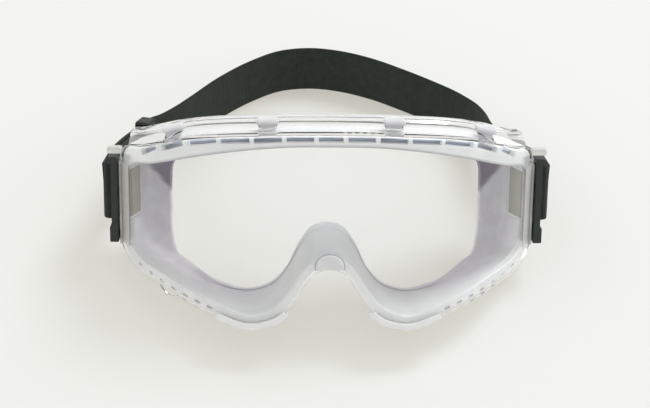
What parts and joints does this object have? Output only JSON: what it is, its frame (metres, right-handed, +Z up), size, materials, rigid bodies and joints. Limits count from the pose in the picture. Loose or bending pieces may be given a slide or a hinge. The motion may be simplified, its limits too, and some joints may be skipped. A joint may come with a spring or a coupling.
{
  "type": "safety goggles",
  "caption": "Indirect-vent safety goggles: clear wrap-round lens with a top brim, soft face body, swinging strap clips and an elastic headband with a slider.",
  "frame": {"origin": "middle of the footprint, on the surface that the goggles stand on", "axes": "+X across the goggles to the viewer's right, +Y from the lens towards the headband, +Z up. The lens leans back 26 degrees."},
  "size_m": [0.1973, 0.1927, 0.0957],
  "materials": {
    "clear_lens": "clear polycarbonate, polished",
    "soft_body": "soft lavender-white moulding, satin",
    "vent_baffle": "soft moulding in shade, satin",
    "vent_screen": "olive-grey screen, matt",
    "clip_plastic": "black-green moulded plastic, satin",
    "webbing": "fine ribbed elastic webbing",
    "thread": "dense black-green stitches"
  },
  "bodies": {
    "goggle": {"lens": "clear_lens", "lens_tab_1": "soft_body", "lens_tab_2": "soft_body", "lens_tab_3": "soft_body", "lens_tab_4": "soft_body", "front_rim": "soft_body", "face_skirt": "soft_body", "cheek_channel_left": "soft_body", "cheek_channel_right": "soft_body", "nose_pad": "soft_body", "top_vent_baffle": "vent_baffle", "side_vent_screen_left": "vent_screen", "side_vent_screen_right": "vent_screen"},
    "headband": {"strap_clip_left": "clip_plastic", "pivot_stud_left": "clip_plastic", "strap": "webbing", "bar_tack": "thread"},
    "right_clip": {"strap_clip_right": "clip_plastic", "pivot_stud_right": "clip_plastic"},
    "slider": {"strap_slider": "clip_plastic"}
  },
  "joints": [
    {"name": "left_clip_swing", "type": "hinge", "parent": "goggle", "child": "headband", "pos_m": [-0.0902, -0.03818, 0.02107], "axis": [1, 0, 0], "range_deg": [-30, 20]},
    {"name": "right_clip_swing", "type": "hinge", "parent": "goggle", "child": "right_clip", "pos_m": [0.0902, -0.03818, 0.02107], "axis": [1, 0, 0], "range_deg": [-30, 20]},
    {"name": "slider_slide", "type": "slide", "parent": "headband", "child": "slider", "axis": [0.2832, 0.8968, -0.3399], "range_m": [-0.012, 0.002]}
  ],
  "couplings": [
    {"joint": "right_clip_swing", "follows": "left_clip_swing", "ratio": 1}
  ]
}
